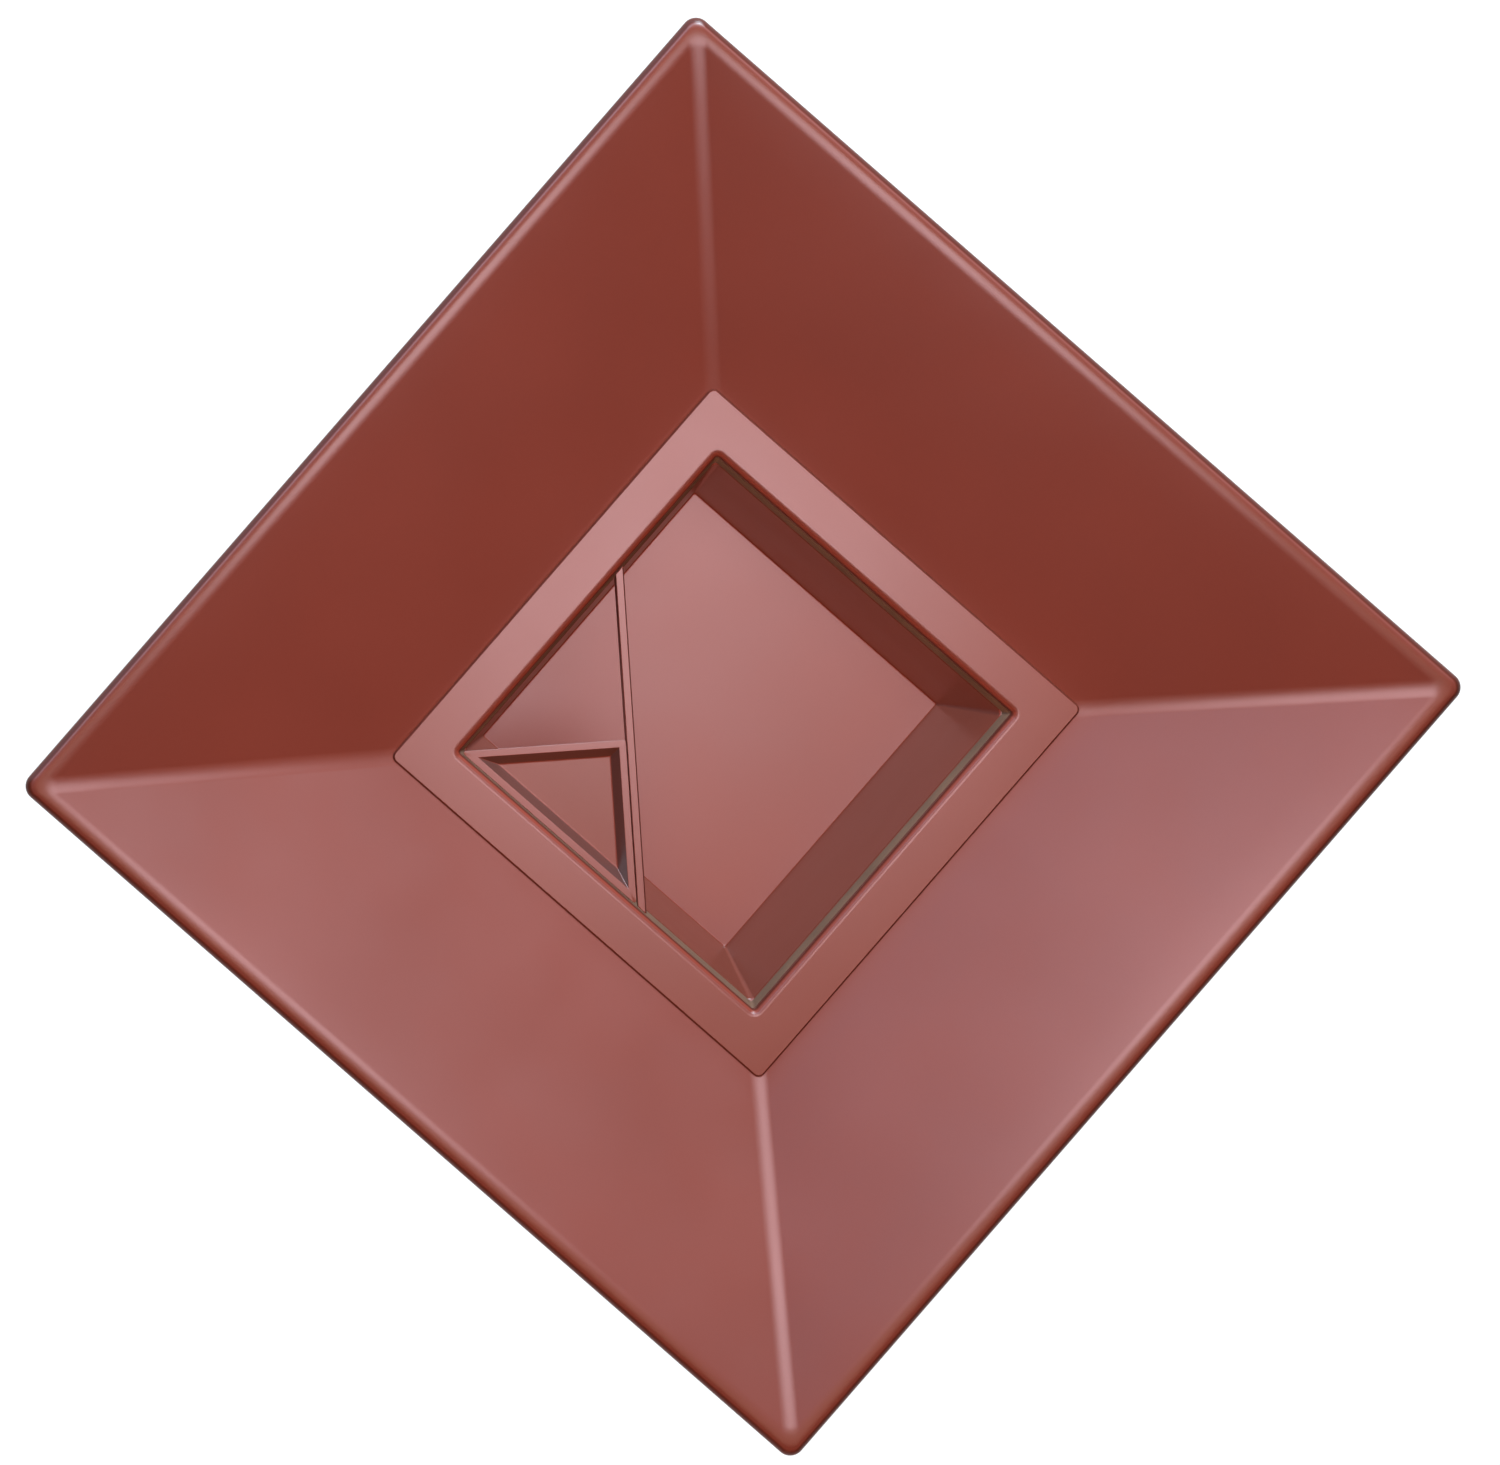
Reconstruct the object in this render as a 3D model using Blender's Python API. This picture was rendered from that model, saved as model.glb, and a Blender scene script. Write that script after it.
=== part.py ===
"""Square resin casting mould: a shallow pouring tray round a deep drafted well.

The tray's middle has a pocket. A flanged cup hangs in it, a seal and a flat frame lie on the cup's flange,
and eight screws from below draw the stack together. A divider strip and a triangular insert lie in the
well's mouth and lift straight out. Lengths are in millimetres until loft() turns them into metres. The
origin is on the ground, below the middle of the well. X and Y run across the square's sides, and Z is up.
"""

import math

import bmesh
import bpy

MM = 0.001

# Driving dimensions, in millimetres and degrees
LIP_HALF = 90.0             # the tray's outer half width
FRAME_HALF = 43.05          # the frame's outer half width
OPENING_HALF = 34.4         # the frame's opening, half width
FLOOR_HALF = 28.3           # the well's floor, half width
FRAME_TOP = 63.0            # height of the frame's face above the ground
FLOOR_THICKNESS = 3.0       # the cup's floor
SLOPE = math.radians(22.5)  # the tray's fall towards the frame
TRAY_WALL = 3.0
CUP_WALL = 2.6
GAP = 0.3                   # between pieces that touch
CORNER_STEPS = 8            # flats round each rounded corner
SLOPE_RINGS = 4             # bands that each slope is made of
SHARP_ANGLE = math.radians(32.0)
WELD = 0.001                # points closer than this are one

# The stack at the pocket, from the top down
FRAME_PROUD = 1.0           # the frame's face above the tray's inner land
FRAME_LIP = 0.7             # thickness of the frame's edge that covers the pocket
FRAME_PLATE = 3.4
GASKET_HEIGHT = 3.4
FLANGE_THICKNESS = 2.2
LEDGE_THICKNESS = 3.0
CLAMP_THICKNESS = 2.2

LAND_TOP = FRAME_TOP - FRAME_PROUD
PLATE_BOTTOM = FRAME_TOP - FRAME_PLATE
GASKET_TOP = PLATE_BOTTOM - GAP
GASKET_BOTTOM = GASKET_TOP - GASKET_HEIGHT
FLANGE_TOP = GASKET_BOTTOM - GAP
FLANGE_BOTTOM = FLANGE_TOP - FLANGE_THICKNESS
LEDGE_TOP = FLANGE_BOTTOM - GAP
LEDGE_BOTTOM = LEDGE_TOP - LEDGE_THICKNESS
CLAMP_TOP = LEDGE_BOTTOM - GAP
CLAMP_BOTTOM = CLAMP_TOP - CLAMP_THICKNESS

# The tray
LIP_OUTER_RADIUS = 1.7
LIP_INNER_RADIUS = 5.6
LIP_DEPTH = 7.0             # how far the lip turns down outside
LIP_EDGE_RADIUS = 0.5
LIP_CORNER = 2.6            # corner radius of the outline
CREASE_RADIUS = 2.5         # corner radius between two slopes
LIP_CORNER_FALL = 0.3       # how much of the lip's rounding comes off its corner radius
LAND_HALF = 43.45           # where the slopes start
POCKET_HALF = 42.5
POCKET_CORNER = 1.4
LEDGE_HOLE_HALF = 36.3
COLLAR_EDGE = 0.6           # bevel at the foot of the collar and where it meets the slopes
COLLAR_DROP = 0.9
LIP_WALL_DRAFT = 0.3        # how far the lip's inner wall leans in

# The frame and its seal
FRAME_CORNER = 1.35
FRAME_EDGE_RADIUS = 0.45
FRAME_INNER_RADIUS = 1.45
OPENING_CORNER = 0.0        # the opening's upright corners are sharp
INNER_FACE_HALF = 34.35     # the opening at the underside of the plate
STACK_HALF = POCKET_HALF - GAP
GASKET_OUTER_HALF = 37.0
GASKET_TOP_HALF = 34.3
GASKET_BOTTOM_HALF = 33.55
GASKET_BELLY = 0.12         # how far the seal's inner face bulges
GASKET_EDGE = 0.3

# The cup
CUP_MOUTH_HALF = 33.4
CUP_MOUTH_CORNER = 0.9
CUP_MOUTH_EDGE = 0.35
CUP_FLOOR_CORNER = 0.4
CUP_FLOOR_FILLET = 0.35
CUP_OUTER_CORNER = 3.0
CUP_FOOT_CHAMFER = 0.8

# The divider strip and the insert
STRIP_DISTANCE = 18.4       # from the middle of the well to the strip's centre line
STRIP_WIDTH = 1.45
STRIP_TOP = FRAME_TOP - 1.1
STRIP_HEIGHT = 5.0
STRIP_EDGE_RADIUS = 0.35
STRIP_CORNER = 0.15
STRIP_LEDGE_WIDTH = 1.2
STRIP_LEDGE_HEIGHT = 1.0
STRIP_LEDGE_START = 1.5
STRIP_LEDGE_END = 24.0
STRIP_LEDGE_OVERLAP = 0.4   # how far the ledge runs into the strip
SIDE_CLEARANCE = 0.4        # between the lift-out pieces and the opening
INSERT_BOTTOM = STRIP_TOP - STRIP_HEIGHT + STRIP_LEDGE_HEIGHT + GAP
INSERT_RIM = 1.3
INSERT_RECESS_RUN = 1.5
INSERT_RECESS_DEPTH = 1.8
INSERT_DIAGONAL_OFFSET = 0.2
INSERT_CORNER = 0.4
INSERT_RECESS_CORNER = 0.2
INSERT_FLOOR_CORNER = 0.1
INSERT_EDGE_RADIUS = 0.3
INSERT_ORIGIN_X = -20.0
INSERT_ORIGIN_Y = -27.0
ROOT_TWO = math.sqrt(2.0)

# The clamp frame and its screws
CLAMP_OUTER_HALF = 44.0
CLAMP_CORNER = 3.0
CLAMP_CHAMFER = 0.4
SCREW_LINE = 39.55          # from the middle to the rows of screws
SCREW_RADIUS = 1.25
SCREW_HEAD_RADIUS = 2.5
SCREW_HEAD_HEIGHT = 2.2
SCREW_SOCKET_RADIUS = 1.2
SCREW_SOCKET_DEPTH = 1.2
SCREW_SIDES = 18
SCREW_EDGE = 0.3
SCREW_TIP = FRAME_TOP - 1.7
BLIND_HOLE_END = SCREW_TIP + GAP
SCREW_SEAT = CLAMP_BOTTOM - GAP

# Colours and finishes
TERRACOTTA = (0.36, 0.095, 0.062)
SEAL_GREY = (0.085, 0.075, 0.052)
ALUMINIUM = (0.62, 0.63, 0.65)
STEEL = (0.46, 0.46, 0.48)


def clear_scene():
    for item in list(bpy.data.objects):
        bpy.data.objects.remove(item, do_unlink=True)


def material(name, color, roughness, metallic=0.0):
    made = bpy.data.materials.new(name)
    made.use_nodes = True
    shader = made.node_tree.nodes["Principled BSDF"]
    shader.inputs["Base Color"].default_value = (*color, 1.0)
    shader.inputs["Roughness"].default_value = roughness
    shader.inputs["Metallic"].default_value = metallic
    return made


def arc(center_a, center_z, radius, start_deg, end_deg, steps):
    """Points (half width, height) on an arc of a section, angles from the outward direction."""
    points = []
    for i in range(steps + 1):
        angle = math.radians(start_deg + (end_deg - start_deg) * i / steps)
        points.append((center_a + radius * math.cos(angle), center_z + radius * math.sin(angle)))
    return points


def rounded_loop(corners, radius, steps):
    """A convex outline, counter-clockwise, with its corners rounded. Returns (x, y) points."""
    points = []
    count = len(corners)
    for i in range(count):
        x, y = corners[i]
        before_x, before_y = corners[i - 1]
        after_x, after_y = corners[(i + 1) % count]
        heading_in = math.atan2(y - before_y, x - before_x)
        heading_out = math.atan2(after_y - y, after_x - x)
        turn = (heading_out - heading_in) % math.tau
        setback = radius * math.tan(turn / 2.0)
        center_x = x - setback * math.cos(heading_in) - radius * math.sin(heading_in)
        center_y = y - setback * math.sin(heading_in) + radius * math.cos(heading_in)
        for k in range(steps + 1):
            angle = heading_in - math.pi / 2.0 + turn * k / steps
            points.append((center_x + radius * math.cos(angle), center_y + radius * math.sin(angle)))
    return points


def square_loop(half, height, corner):
    corners = [(half, -half), (half, half), (-half, half), (-half, -half)]
    return [(x, y, height) for x, y in rounded_loop(corners, corner, CORNER_STEPS)]


def loft(loops, closed):
    """A mesh through the loops, joined end to end (closed) or capped at both ends."""
    bm = bmesh.new()
    rings = [[bm.verts.new((x * MM, y * MM, z * MM)) for x, y, z in loop] for loop in loops]
    pairs = list(zip(rings, rings[1:]))
    if closed:
        pairs.append((rings[-1], rings[0]))
    for lower, upper in pairs:
        count = len(lower)
        for i in range(count):
            j = (i + 1) % count
            bm.faces.new((lower[i], lower[j], upper[j], upper[i]))
    if not closed:
        bm.faces.new(rings[0])
        bm.faces.new(rings[-1])
    bmesh.ops.remove_doubles(bm, verts=bm.verts, dist=WELD * MM)
    bmesh.ops.recalc_face_normals(bm, faces=bm.faces)
    return bm


def mesh_object(name, bm, finish):
    mesh = bpy.data.meshes.new(name)
    bm.to_mesh(mesh)
    bm.free()
    mesh.shade_smooth()
    mesh.set_sharp_from_angle(angle=SHARP_ANGLE)
    made = bpy.data.objects.new(name, mesh)
    bpy.context.scene.collection.objects.link(made)
    if finish:
        mesh.materials.append(finish)
    return made


def boolean(target, tool, operation):
    """Cut or join target with tool, which stays out of the model."""
    modifier = target.modifiers.new(operation.title(), "BOOLEAN")
    modifier.operation = operation
    modifier.solver = "EXACT"
    modifier.object = tool
    tool.hide_render = True
    tool.display_type = "WIRE"


def set_origin(made, x, y, z):
    """Move an object's origin, in millimetres, without moving its mesh in the world."""
    for vertex in made.data.vertices:
        vertex.co.x -= x * MM
        vertex.co.y -= y * MM
        vertex.co.z -= z * MM
    made.location = (x * MM, y * MM, z * MM)


def slope_height(half, below=0.0):
    """Height of the dish's slope at a half width, or of a face that far below it."""
    return LAND_TOP + (half - LAND_HALF) * math.tan(SLOPE) - below / math.cos(SLOPE)


def pour_tray(finish):
    """The dish: slopes, rounded lip, turned-down edge, and the collar that holds the pocket."""
    top_half = LIP_HALF - LIP_OUTER_RADIUS
    tangent_half = top_half - LIP_INNER_RADIUS * math.sin(SLOPE)
    lip_top = slope_height(tangent_half) + LIP_INNER_RADIUS * (1.0 - math.cos(SLOPE))
    lip_bottom = lip_top - LIP_DEPTH
    inner_face = LIP_HALF - TRAY_WALL - LIP_EDGE_RADIUS
    collar_half = POCKET_HALF + TRAY_WALL
    section = [
        (LEDGE_HOLE_HALF, LEDGE_BOTTOM, POCKET_CORNER),
        (LEDGE_HOLE_HALF, LEDGE_TOP, POCKET_CORNER),
        (POCKET_HALF, LEDGE_TOP, POCKET_CORNER),
        (POCKET_HALF, LAND_TOP, POCKET_CORNER),
        (LAND_HALF, LAND_TOP, FRAME_CORNER),
    ]
    for i in range(1, SLOPE_RINGS):
        half = LAND_HALF + (tangent_half - LAND_HALF) * i / SLOPE_RINGS
        section.append((half, slope_height(half), CREASE_RADIUS))
    slope_deg = math.degrees(SLOPE)
    center = lip_top - LIP_INNER_RADIUS
    inner = arc(top_half, center, LIP_INNER_RADIUS, 90.0 + slope_deg, 90.0, 4)
    for half, height in inner[:-1]:
        section.append((half, height, CREASE_RADIUS))
    center = lip_top - LIP_OUTER_RADIUS
    for half, height in arc(top_half, center, LIP_OUTER_RADIUS, 90.0, 0.0, 6):
        section.append((half, height, LIP_CORNER - (LIP_HALF - half) * LIP_CORNER_FALL))
    edge_center = LIP_HALF - 2.0 * LIP_EDGE_RADIUS
    center = lip_bottom + LIP_EDGE_RADIUS
    for half, height in arc(edge_center, center, LIP_EDGE_RADIUS, 0.0, -90.0, 3):
        section.append((half, height, LIP_CORNER))
    wall_top = inner_face - LIP_WALL_DRAFT
    collar_top = collar_half + COLLAR_EDGE
    section += [
        (inner_face, lip_bottom, CREASE_RADIUS),
        (wall_top, slope_height(wall_top, TRAY_WALL), CREASE_RADIUS),
        (collar_top, slope_height(collar_top, TRAY_WALL), CREASE_RADIUS),
        (collar_half, slope_height(collar_half, TRAY_WALL) - COLLAR_DROP, CREASE_RADIUS),
        (collar_half, LEDGE_BOTTOM + COLLAR_EDGE, CREASE_RADIUS),
        (collar_half - COLLAR_EDGE, LEDGE_BOTTOM, CREASE_RADIUS),
    ]
    loops = [square_loop(*point) for point in section]
    return mesh_object("pour_tray", loft(loops, closed=True), finish)


def well_frame(finish):
    """The frame: its edge covers the pocket, its plate lies on the seal, its skirt takes the screws."""
    section = [(INNER_FACE_HALF, PLATE_BOTTOM, OPENING_CORNER)]
    radius = FRAME_INNER_RADIUS
    for half, height in arc(OPENING_HALF + radius, FRAME_TOP - radius, radius, 180.0, 90.0, 5):
        section.append((half, height, OPENING_CORNER + half - OPENING_HALF))
    radius = FRAME_EDGE_RADIUS
    for half, height in arc(FRAME_HALF - radius, FRAME_TOP - radius, radius, 90.0, 0.0, 4):
        section.append((half, height, FRAME_CORNER + half - FRAME_HALF))
    skirt_inner = GASKET_OUTER_HALF + GAP
    section += [
        (FRAME_HALF, FRAME_TOP - FRAME_LIP, FRAME_CORNER),
        (STACK_HALF, FRAME_TOP - FRAME_LIP, POCKET_CORNER),
        (STACK_HALF, GASKET_BOTTOM, POCKET_CORNER),
        (skirt_inner, GASKET_BOTTOM, OPENING_CORNER + GAP),
        (skirt_inner, PLATE_BOTTOM, OPENING_CORNER + GAP),
    ]
    loops = [square_loop(*point) for point in section]
    return mesh_object("well_frame", loft(loops, closed=True), finish)


def well_gasket(finish):
    """The seal: a square ring whose inner face leans in towards the cup and is slightly rounded."""
    middle_half = (GASKET_TOP_HALF + GASKET_BOTTOM_HALF) / 2.0 - GASKET_BELLY
    middle_height = (GASKET_TOP + GASKET_BOTTOM) / 2.0
    section = [
        (GASKET_BOTTOM_HALF + GASKET_EDGE, GASKET_BOTTOM, OPENING_CORNER),
        (GASKET_BOTTOM_HALF, GASKET_BOTTOM + GASKET_EDGE, OPENING_CORNER),
        (middle_half, middle_height, OPENING_CORNER),
        (GASKET_TOP_HALF, GASKET_TOP - GASKET_EDGE, OPENING_CORNER),
        (GASKET_TOP_HALF + GASKET_EDGE, GASKET_TOP, OPENING_CORNER),
        (GASKET_OUTER_HALF, GASKET_TOP, OPENING_CORNER),
        (GASKET_OUTER_HALF, GASKET_BOTTOM, OPENING_CORNER),
    ]
    loops = [square_loop(*point) for point in section]
    return mesh_object("well_gasket", loft(loops, closed=True), finish)


def well_cup(finish):
    """The cup: a flat floor with a small fillet, drafted walls, and a flange that hangs on the ledge."""
    floor = FLOOR_THICKNESS
    draft = (CUP_MOUTH_HALF - FLOOR_HALF) / (FLANGE_TOP - floor)
    outer_foot = FLOOR_HALF + CUP_WALL - draft * floor
    outer_neck = CUP_MOUTH_HALF + CUP_WALL - draft * (FLANGE_TOP - FLANGE_BOTTOM)
    section = [
        (outer_foot - CUP_FOOT_CHAMFER, 0.0, CUP_OUTER_CORNER),
        (outer_foot, CUP_FOOT_CHAMFER, CUP_OUTER_CORNER),
        (outer_neck, FLANGE_BOTTOM, CUP_OUTER_CORNER),
        (STACK_HALF, FLANGE_BOTTOM, POCKET_CORNER),
        (STACK_HALF, FLANGE_TOP, POCKET_CORNER),
        (CUP_MOUTH_HALF + CUP_MOUTH_EDGE, FLANGE_TOP, CUP_MOUTH_CORNER),
        (CUP_MOUTH_HALF, FLANGE_TOP - CUP_MOUTH_EDGE, CUP_MOUTH_CORNER),
    ]
    radius = CUP_FLOOR_FILLET
    for half, height in arc(FLOOR_HALF - radius, floor + radius, radius, 0.0, -90.0, 3):
        section.append((half, height, CUP_FLOOR_CORNER))
    loops = [square_loop(*point) for point in section]
    return mesh_object("well_cup", loft(loops, closed=False), finish)


def clamp_frame(finish):
    """The flat backing frame under the tray's ledge."""
    section = []
    sides = ((LEDGE_HOLE_HALF, POCKET_CORNER, -1.0), (CLAMP_OUTER_HALF, CLAMP_CORNER, 1.0))
    for half, corner, inward in sides:
        ring = [
            (half - inward * CLAMP_CHAMFER, CLAMP_BOTTOM, corner),
            (half, CLAMP_BOTTOM + CLAMP_CHAMFER, corner),
            (half, CLAMP_TOP - CLAMP_CHAMFER, corner),
            (half - inward * CLAMP_CHAMFER, CLAMP_TOP, corner),
        ]
        section += ring if inward < 0.0 else reversed(ring)
    loops = [square_loop(*point) for point in section]
    return mesh_object("clamp_frame", loft(loops, closed=True), finish)


def screw_places():
    """The eight screws: one at each corner of the stack and one at the middle of each side."""
    steps = (-1, 0, 1)
    return [(x * SCREW_LINE, y * SCREW_LINE) for y in steps for x in steps if x or y]


def circle_loop(x, y, radius, height, sides=SCREW_SIDES):
    turns = [math.tau * i / sides for i in range(sides)]
    return [(x + radius * math.cos(turn), y + radius * math.sin(turn), height) for turn in turns]


def hexagon_loop(radius, height):
    """A hexagon drawn with as many points as the screw has sides, so that it lofts to its circles."""
    points = []
    for i in range(SCREW_SIDES):
        turn = math.tau * i / SCREW_SIDES
        within = (turn % (math.pi / 3.0)) - math.pi / 6.0
        reach = radius * math.cos(math.pi / 6.0) / math.cos(within)
        points.append((reach * math.cos(turn), reach * math.sin(turn), height))
    return points


def clamp_screws(finish):
    """Cap screws with a hexagonal socket, heads down, all from one mesh."""
    head_bottom = SCREW_SEAT - SCREW_HEAD_HEIGHT
    loops = [
        hexagon_loop(SCREW_SOCKET_RADIUS, head_bottom + SCREW_SOCKET_DEPTH),
        hexagon_loop(SCREW_SOCKET_RADIUS, head_bottom),
        circle_loop(0.0, 0.0, SCREW_HEAD_RADIUS - SCREW_EDGE, head_bottom),
        circle_loop(0.0, 0.0, SCREW_HEAD_RADIUS, head_bottom + SCREW_EDGE),
        circle_loop(0.0, 0.0, SCREW_HEAD_RADIUS, SCREW_SEAT),
        circle_loop(0.0, 0.0, SCREW_RADIUS, SCREW_SEAT),
        circle_loop(0.0, 0.0, SCREW_RADIUS, SCREW_TIP - SCREW_EDGE),
        circle_loop(0.0, 0.0, SCREW_RADIUS - SCREW_EDGE, SCREW_TIP),
    ]
    places = screw_places()
    first = mesh_object("clamp_screw_1", loft(loops, closed=False), finish)
    first.location = (places[0][0] * MM, places[0][1] * MM, 0.0)
    for number, (x, y) in enumerate(places[1:], start=2):
        copy = bpy.data.objects.new(f"clamp_screw_{number}", first.data)
        copy.location = (x * MM, y * MM, 0.0)
        bpy.context.scene.collection.objects.link(copy)


def screw_holes(name, bottom, top):
    """A cutter with one plain cylinder for each screw."""
    combined = bmesh.new()
    for x, y in screw_places():
        radius = SCREW_RADIUS + GAP
        peg = loft([circle_loop(x, y, radius, bottom), circle_loop(x, y, radius, top)], closed=False)
        mesh = bpy.data.meshes.new(name)
        peg.to_mesh(mesh)
        peg.free()
        combined.from_mesh(mesh)
        bpy.data.meshes.remove(mesh)
    return mesh_object(name, combined, None)


def mouth_half(height):
    """Half width that a lift-out piece may have at a height in the well's mouth."""
    if height >= PLATE_BOTTOM:
        return OPENING_HALF - SIDE_CLEARANCE
    share = (GASKET_TOP - min(height, GASKET_TOP)) / GASKET_HEIGHT
    inner = GASKET_TOP_HALF + (GASKET_BOTTOM_HALF - GASKET_TOP_HALF) * share
    return inner - SIDE_CLEARANCE


def strip_loop(height, inset):
    """The strip's outline: a long band along X + Y = constant, its ends parallel to the well's sides."""
    half = mouth_half(height) - inset
    near = -ROOT_TWO * (STRIP_DISTANCE - STRIP_WIDTH / 2.0 + inset)
    far = -ROOT_TWO * (STRIP_DISTANCE + STRIP_WIDTH / 2.0 - inset)
    corners = [(far + half, -half), (near + half, -half), (-half, near + half), (-half, far + half)]
    return [(x, y, height) for x, y in rounded_loop(corners, STRIP_CORNER, 2)]


def divider_strip(finish):
    """The strip across one corner, with a small ledge on its far side that carries the insert."""
    bottom = STRIP_TOP - STRIP_HEIGHT
    levels = [(bottom, 0.0), (GASKET_TOP, 0.0), (PLATE_BOTTOM, 0.0)]
    levels += [
        (STRIP_TOP + offset, STRIP_EDGE_RADIUS - reach)
        for reach, offset in arc(0.0, -STRIP_EDGE_RADIUS, STRIP_EDGE_RADIUS, 0.0, 90.0, 3)
    ]
    loops = [strip_loop(height, inset) for height, inset in levels]
    strip = mesh_object("divider_strip", loft(loops, closed=False), finish)
    inner = -(STRIP_DISTANCE + STRIP_WIDTH / 2.0 - STRIP_LEDGE_OVERLAP)
    outer = inner - STRIP_LEDGE_OVERLAP - STRIP_LEDGE_WIDTH
    along_across = (
        (STRIP_LEDGE_START, inner),
        (STRIP_LEDGE_START, outer),
        (STRIP_LEDGE_END, outer),
        (STRIP_LEDGE_END, inner),
    )
    outline = [((across + along) / ROOT_TWO, (across - along) / ROOT_TWO) for along, across in along_across]
    heights = (bottom, bottom + STRIP_LEDGE_HEIGHT)
    ledge = loft([[(x, y, height) for x, y in outline] for height in heights], closed=False)
    boolean(strip, mesh_object("strip_ledge", ledge, None), "UNION")
    return strip


def insert_loop(height, inset, corner, half=None):
    """The insert's outline: a side on the well's diagonal, one by the strip, the long one by a wall."""
    half = (mouth_half(height) if half is None else half) - inset
    diagonal = INSERT_DIAGONAL_OFFSET - ROOT_TWO * inset
    beside_strip = -ROOT_TWO * (STRIP_DISTANCE + STRIP_WIDTH / 2.0 + GAP + inset)
    corners = [
        (-half - diagonal, -half),
        (beside_strip + half, -half),
        ((beside_strip - diagonal) / 2.0, (beside_strip + diagonal) / 2.0),
    ]
    return [(x, y, height) for x, y in rounded_loop(corners, corner, 4)]


def corner_insert(finish):
    """The triangular insert: a flat rim round a shallow recess with sloping walls."""
    loops = [
        insert_loop(INSERT_BOTTOM, 0.0, INSERT_CORNER),
        insert_loop(GASKET_TOP, 0.0, INSERT_CORNER),
        insert_loop(PLATE_BOTTOM, 0.0, INSERT_CORNER),
    ]
    for reach, offset in arc(0.0, -INSERT_EDGE_RADIUS, INSERT_EDGE_RADIUS, 0.0, 90.0, 3):
        loops.append(insert_loop(STRIP_TOP + offset, INSERT_EDGE_RADIUS - reach, INSERT_CORNER))
    half = mouth_half(STRIP_TOP)
    recess_bottom = STRIP_TOP - INSERT_RECESS_DEPTH
    floor_inset = INSERT_RIM + INSERT_RECESS_RUN
    loops.append(insert_loop(STRIP_TOP, INSERT_RIM, INSERT_RECESS_CORNER, half))
    loops.append(insert_loop(recess_bottom, floor_inset, INSERT_FLOOR_CORNER, half))
    return mesh_object("corner_insert", loft(loops, closed=False), finish)


def build():
    clear_scene()
    silicone = material("mould_silicone", TERRACOTTA, 0.45)
    plastic = material("mould_plastic", TERRACOTTA, 0.38)
    seal = material("seal_rubber", SEAL_GREY, 0.6)
    aluminium = material("clamp_aluminium", ALUMINIUM, 0.35, 1.0)
    steel = material("screw_steel", STEEL, 0.3, 1.0)
    tray = pour_tray(silicone)
    frame = well_frame(plastic)
    well_gasket(seal)
    cup = well_cup(silicone)
    clamp = clamp_frame(aluminium)
    clamp_screws(steel)
    holes = screw_holes("screw_holes", CLAMP_BOTTOM - 1.0, BLIND_HOLE_END)
    for piece in (tray, frame, cup, clamp):
        boolean(piece, holes, "DIFFERENCE")
    strip = divider_strip(plastic)
    insert = corner_insert(plastic)
    across = -STRIP_DISTANCE / ROOT_TWO
    set_origin(strip, across, across, STRIP_TOP)
    set_origin(insert, INSERT_ORIGIN_X, INSERT_ORIGIN_Y, STRIP_TOP)


build()
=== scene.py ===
"""Looks of the square resin casting mould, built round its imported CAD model. Lengths are in metres."""

import math

import bmesh
import bpy
from mathutils import Matrix, Vector


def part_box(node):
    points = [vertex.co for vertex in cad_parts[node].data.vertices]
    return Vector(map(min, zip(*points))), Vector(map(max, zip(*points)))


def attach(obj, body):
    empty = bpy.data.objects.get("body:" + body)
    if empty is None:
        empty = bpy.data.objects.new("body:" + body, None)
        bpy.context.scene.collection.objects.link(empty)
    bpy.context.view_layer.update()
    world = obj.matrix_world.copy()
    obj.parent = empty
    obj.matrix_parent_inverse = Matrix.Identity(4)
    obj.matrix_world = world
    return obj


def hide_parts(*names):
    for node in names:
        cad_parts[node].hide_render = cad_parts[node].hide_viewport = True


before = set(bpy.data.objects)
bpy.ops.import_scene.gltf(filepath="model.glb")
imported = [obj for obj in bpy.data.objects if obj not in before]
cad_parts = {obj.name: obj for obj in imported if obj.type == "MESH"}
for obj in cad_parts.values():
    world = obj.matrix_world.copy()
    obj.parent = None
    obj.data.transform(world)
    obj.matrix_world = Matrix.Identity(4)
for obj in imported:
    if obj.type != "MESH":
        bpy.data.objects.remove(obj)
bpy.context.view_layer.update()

MM = 0.001
ROOT_TWO = math.sqrt(2.0)

# Places read from the CAD model
tray_low, tray_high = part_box("pour_tray")
frame_low, frame_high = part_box("well_frame")
gasket_low, gasket_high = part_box("well_gasket")
cup_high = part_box("well_cup")[1]
clamp_low, clamp_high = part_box("clamp_frame")
strip_low, strip_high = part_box("divider_strip")
insert_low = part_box("corner_insert")[0]
LIP_HALF = tray_high.x
LIP_TOP = tray_high.z
LEDGE_BOTTOM = tray_low.z
FRAME_HALF = frame_high.x
FRAME_TOP = frame_high.z
SKIRT_BOTTOM = frame_low.z
STACK_HALF = cup_high.x
FLANGE_TOP = cup_high.z
MOUTH_TOP = strip_high.z

# Shared by several pieces
GAP = 0.3 * MM                        # between pieces that touch
SLOPE = math.radians(22.5)            # the tray's fall towards the frame
POCKET_CORNER = 1.4 * MM
LAND_TOP = FRAME_TOP - 1.0 * MM       # height and half width where the slopes start
LAND_HALF = FRAME_HALF + 0.15 * MM
POCKET_HALF = STACK_HALF + GAP
OPENING_HALF = 34.4 * MM
OPENING_CORNER = 0.5 * MM
PLATE_BOTTOM = FRAME_TOP - 3.4 * MM
SHARP_DEG = 40.0                      # edges that turn more than this stay sharp

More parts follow.
